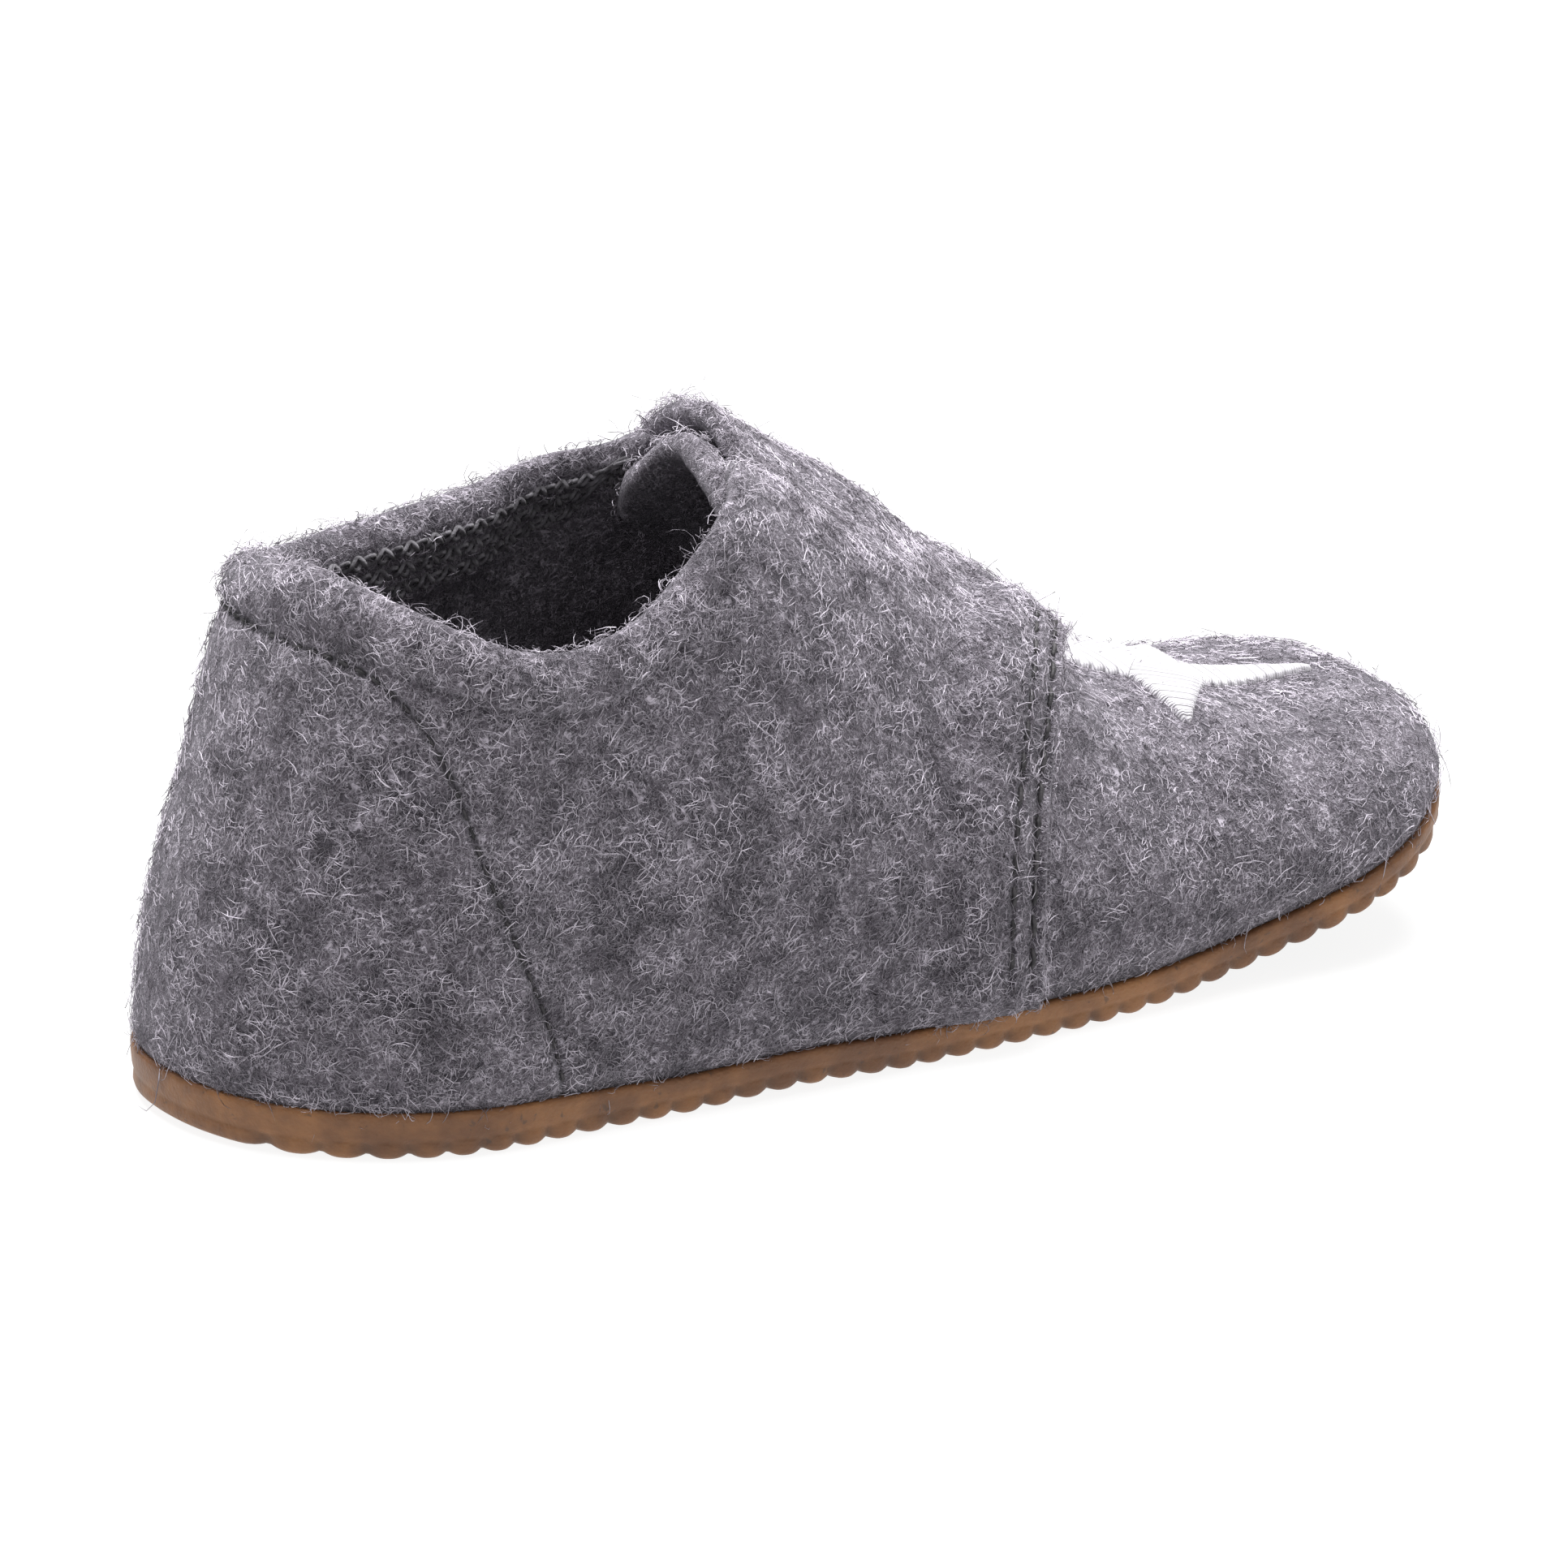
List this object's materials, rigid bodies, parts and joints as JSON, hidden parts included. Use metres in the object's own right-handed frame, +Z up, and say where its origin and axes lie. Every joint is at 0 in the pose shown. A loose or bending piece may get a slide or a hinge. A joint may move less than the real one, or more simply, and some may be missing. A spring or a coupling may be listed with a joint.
{
  "type": "baby hook and loop shoe",
  "caption": "Left baby house slipper of mottled grey wool felt, closed by an instep flap on hook and loop, with a star on the toe and a ribbed rubber sole.",
  "frame": {"origin": "on the floor, under the middle of the shoe's box in plan", "axes": "+X towards the toe, +Y towards the outer side of the foot, +Z up from the floor it stands on"},
  "size_m": [0.145, 0.0578, 0.0622],
  "materials": {
    "sole_rubber": "matt honey-brown natural rubber",
    "insole_wool": "napped wool",
    "felt": "mottled grey boiled wool, curly nap",
    "loop_tape": "grey looped tape",
    "hook_tape": "grey hooked tape",
    "star_thread": "white satin stitch"
  },
  "bodies": {
    "root": {"outsole": "sole_rubber", "insole": "insole_wool", "upper": "felt", "tongue": "felt", "closure_flap": "felt", "loop_patch": "loop_tape", "hook_patch": "hook_tape", "star_patch": "star_thread"}
  },
  "joints": []
}
